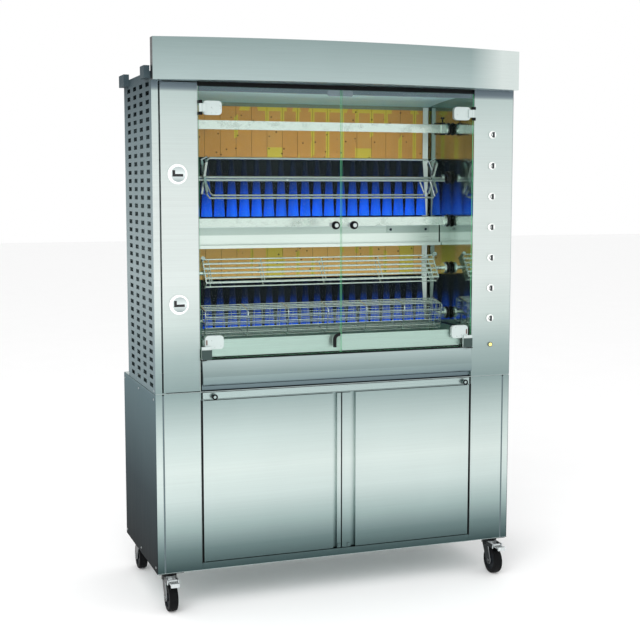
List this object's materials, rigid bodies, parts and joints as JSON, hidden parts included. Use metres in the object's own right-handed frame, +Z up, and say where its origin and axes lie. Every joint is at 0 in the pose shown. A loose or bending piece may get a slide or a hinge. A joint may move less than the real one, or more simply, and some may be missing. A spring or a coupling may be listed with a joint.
{
  "type": "vertical rotisserie broiler",
  "caption": "Floor-standing gas rotisserie with stacked turning spits behind two glass doors, on a stainless cabinet with doors and swivel casters.",
  "frame": {"origin": "on the floor under the centre of the overall box", "axes": "+Z up, -Y towards the front with the glass doors, +X to the right of a person facing the front"},
  "size_m": [1.42, 0.7099, 1.995],
  "materials": {
    "stainless": "brushed, horizontal grain",
    "polished_steel": "bright, nearly mirror polished",
    "side_steel": "brushed, darker",
    "dark_trim": "matt",
    "black_plastic": "matt",
    "black_metal": "satin",
    "knob": "satin white with a dark grip bar",
    "satin_chrome": "satin",
    "spit_steel": "polished, slightly worn",
    "lamp": "translucent amber",
    "fire_brick": "rough, fired",
    "enamel": "gloss enamel",
    "burner_steel": "dull",
    "motor": "painted",
    "glass": "clear, greenish edge",
    "zinc": "zinc plated",
    "tyre": "matt",
    "brass": "machined"
  },
  "bodies": {
    "cabinet": {"base_shell": "stainless", "base_floor": "stainless", "base_front": "stainless", "deck": "stainless", "oven_liner": "polished_steel", "corner_strip": "stainless", "control_panel": "stainless", "switch_bodies": "black_plastic", "pilot_lamp": "lamp", "side_covers": "side_steel", "rear_cover": "side_steel", "top_cover": "stainless", "lintel": "dark_trim", "canopy": "stainless", "apron": "stainless", "fire_bricks": "fire_brick", "burner_plates": "enamel", "burner_tubes": "burner_steel", "mid_tray": "polished_steel", "drip_tray": "polished_steel", "spit_bearings": "black_metal", "spit_motors": "motor", "hinge_blocks": "black_metal", "screws": "zinc", "caster_plates": "zinc", "gas_inlet": "brass", "cable_gland": "black_plastic"},
    "pull_shelf": {"pull_shelf": "polished_steel"},
    "base_door_left": {"base_door_left": "stainless"},
    "base_door_right": {"base_door_right": "stainless"},
    "access_door": {"access_door": "stainless"},
    "latch_upper": {"latch_upper": "satin_chrome"},
    "latch_lower": {"latch_lower": "satin_chrome"},
    "knob_1": {"knob_1": "knob"},
    "knob_2": {"knob_2": "knob"},
    "knob_3": {"knob_3": "knob"},
    "knob_4": {"knob_4": "knob"},
    "knob_5": {"knob_5": "knob"},
    "knob_6": {"knob_6": "knob"},
    "knob_7": {"knob_7": "knob"},
    "spit_1": {"spit_1": "spit_steel"},
    "spit_2": {"spit_2": "spit_steel"},
    "spit_3": {"spit_3": "spit_steel"},
    "spit_4": {"spit_4": "spit_steel"},
    "spit_5": {"spit_5": "spit_steel"},
    "glass_door_left": {"glass_left": "glass", "fittings_left": "satin_chrome", "door_hook": "black_plastic"},
    "glass_door_right": {"glass_right": "glass", "fittings_right": "satin_chrome"},
    "fork_fl": {"fork_fl": "zinc"},
    "wheel_fl": {"wheel_fl": "tyre"},
    "fork_fr": {"fork_fr": "zinc"},
    "wheel_fr": {"wheel_fr": "tyre"},
    "fork_rl": {"fork_rl": "zinc"},
    "wheel_rl": {"wheel_rl": "tyre"},
    "fork_rr": {"fork_rr": "zinc"},
    "wheel_rr": {"wheel_rr": "tyre"},
    "pedal_fl": {"pedal_fl": "black_plastic"},
    "pedal_fr": {"pedal_fr": "black_plastic"}
  },
  "joints": [
    {"name": "glass_door_left_swing", "type": "hinge", "parent": "cabinet", "child": "glass_door_left", "pos_m": [-0.519, -0.243, 1.34], "axis": [0, 0, -1], "range_deg": [0, 110]},
    {"name": "glass_door_right_swing", "type": "hinge", "parent": "cabinet", "child": "glass_door_right", "pos_m": [0.519, -0.243, 1.34], "axis": [0, 0, 1], "range_deg": [0, 110]},
    {"name": "base_door_left_swing", "type": "hinge", "parent": "cabinet", "child": "base_door_left", "pos_m": [-0.516, -0.232, 0.458], "axis": [0, 0, -1], "range_deg": [0, 110]},
    {"name": "base_door_right_swing", "type": "hinge", "parent": "cabinet", "child": "base_door_right", "pos_m": [0.516, -0.232, 0.458], "axis": [0, 0, 1], "range_deg": [0, 110]},
    {"name": "access_door_swing", "type": "hinge", "parent": "cabinet", "child": "access_door", "pos_m": [-0.656, -0.232, 1.317], "axis": [0, 0, -1], "range_deg": [0, 95]},
    {"name": "latch_upper_turn", "type": "hinge", "parent": "access_door", "child": "latch_upper", "pos_m": [-0.602, -0.237, 1.539], "axis": [0, 1, 0], "range_deg": [0, 90]},
    {"name": "latch_lower_turn", "type": "hinge", "parent": "access_door", "child": "latch_lower", "pos_m": [-0.602, -0.237, 1.091], "axis": [0, 1, 0], "range_deg": [0, 90]},
    {"name": "shelf_slide", "type": "slide", "parent": "cabinet", "child": "pull_shelf", "axis": [0, -1, 0], "range_m": [0, 0.35]},
    {"name": "knob_1_turn", "type": "hinge", "parent": "cabinet", "child": "knob_1", "pos_m": [0.602, -0.237, 1.69], "axis": [0, 1, 0], "range_deg": [0, 270]},
    {"name": "knob_2_turn", "type": "hinge", "parent": "cabinet", "child": "knob_2", "pos_m": [0.602, -0.237, 1.5752], "axis": [0, 1, 0], "range_deg": [0, 270]},
    {"name": "knob_3_turn", "type": "hinge", "parent": "cabinet", "child": "knob_3", "pos_m": [0.602, -0.237, 1.4604], "axis": [0, 1, 0], "range_deg": [0, 270]},
    {"name": "knob_4_turn", "type": "hinge", "parent": "cabinet", "child": "knob_4", "pos_m": [0.602, -0.237, 1.3456], "axis": [0, 1, 0], "range_deg": [0, 270]},
    {"name": "knob_5_turn", "type": "hinge", "parent": "cabinet", "child": "knob_5", "pos_m": [0.602, -0.237, 1.2308], "axis": [0, 1, 0], "range_deg": [0, 270]},
    {"name": "knob_6_turn", "type": "hinge", "parent": "cabinet", "child": "knob_6", "pos_m": [0.602, -0.237, 1.116], "axis": [0, 1, 0], "range_deg": [0, 270]},
    {"name": "knob_7_turn", "type": "hinge", "parent": "cabinet", "child": "knob_7", "pos_m": [0.602, -0.237, 1.0012], "axis": [0, 1, 0], "range_deg": [0, 270]},
    {"name": "spit_1_turn", "type": "hinge", "parent": "cabinet", "child": "spit_1", "pos_m": [0, -0.037, 1.719], "axis": [1, 0, 0], "continuous": true},
    {"name": "spit_2_turn", "type": "hinge", "parent": "cabinet", "child": "spit_2", "pos_m": [0, -0.037, 1.533], "axis": [1, 0, 0], "continuous": true},
    {"name": "spit_3_turn", "type": "hinge", "parent": "cabinet", "child": "spit_3", "pos_m": [0, -0.037, 1.366], "axis": [1, 0, 0], "continuous": true},
    {"name": "spit_4_turn", "type": "hinge", "parent": "cabinet", "child": "spit_4", "pos_m": [0, -0.037, 1.183], "axis": [1, 0, 0], "continuous": true},
    {"name": "spit_5_turn", "type": "hinge", "parent": "cabinet", "child": "spit_5", "pos_m": [0, -0.037, 1.007], "axis": [1, 0, 0], "continuous": true},
    {"name": "caster_fl_swivel", "type": "hinge", "parent": "cabinet", "child": "fork_fl", "pos_m": [-0.64, -0.192, 0.115], "axis": [0, 0, 1], "continuous": true},
    {"name": "caster_fl_roll", "type": "hinge", "parent": "fork_fl", "child": "wheel_fl", "pos_m": [-0.64, -0.224, 0.05], "axis": [1, 0, 0], "continuous": true},
    {"name": "caster_fr_swivel", "type": "hinge", "parent": "cabinet", "child": "fork_fr", "pos_m": [0.64, -0.192, 0.115], "axis": [0, 0, 1], "continuous": true},
    {"name": "caster_fr_roll", "type": "hinge", "parent": "fork_fr", "child": "wheel_fr", "pos_m": [0.64, -0.224, 0.05], "axis": [1, 0, 0], "continuous": true},
    {"name": "caster_rl_swivel", "type": "hinge", "parent": "cabinet", "child": "fork_rl", "pos_m": [-0.64, 0.268, 0.115], "axis": [0, 0, 1], "continuous": true},
    {"name": "caster_rl_roll", "type": "hinge", "parent": "fork_rl", "child": "wheel_rl", "pos_m": [-0.64, 0.3, 0.05], "axis": [1, 0, 0], "continuous": true},
    {"name": "caster_rr_swivel", "type": "hinge", "parent": "cabinet", "child": "fork_rr", "pos_m": [0.64, 0.268, 0.115], "axis": [0, 0, 1], "continuous": true},
    {"name": "caster_rr_roll", "type": "hinge", "parent": "fork_rr", "child": "wheel_rr", "pos_m": [0.64, 0.3, 0.05], "axis": [1, 0, 0], "continuous": true},
    {"name": "brake_fl_press", "type": "hinge", "parent": "fork_fl", "child": "pedal_fl", "pos_m": [-0.64, -0.25, 0.113], "axis": [1, 0, 0], "range_deg": [0, 14], "stiffness_Nm_per_rad": 1.2, "springref_deg": -11.46},
    {"name": "brake_fr_press", "type": "hinge", "parent": "fork_fr", "child": "pedal_fr", "pos_m": [0.64, -0.25, 0.113], "axis": [1, 0, 0], "range_deg": [0, 14], "stiffness_Nm_per_rad": 1.2, "springref_deg": -11.46}
  ]
}
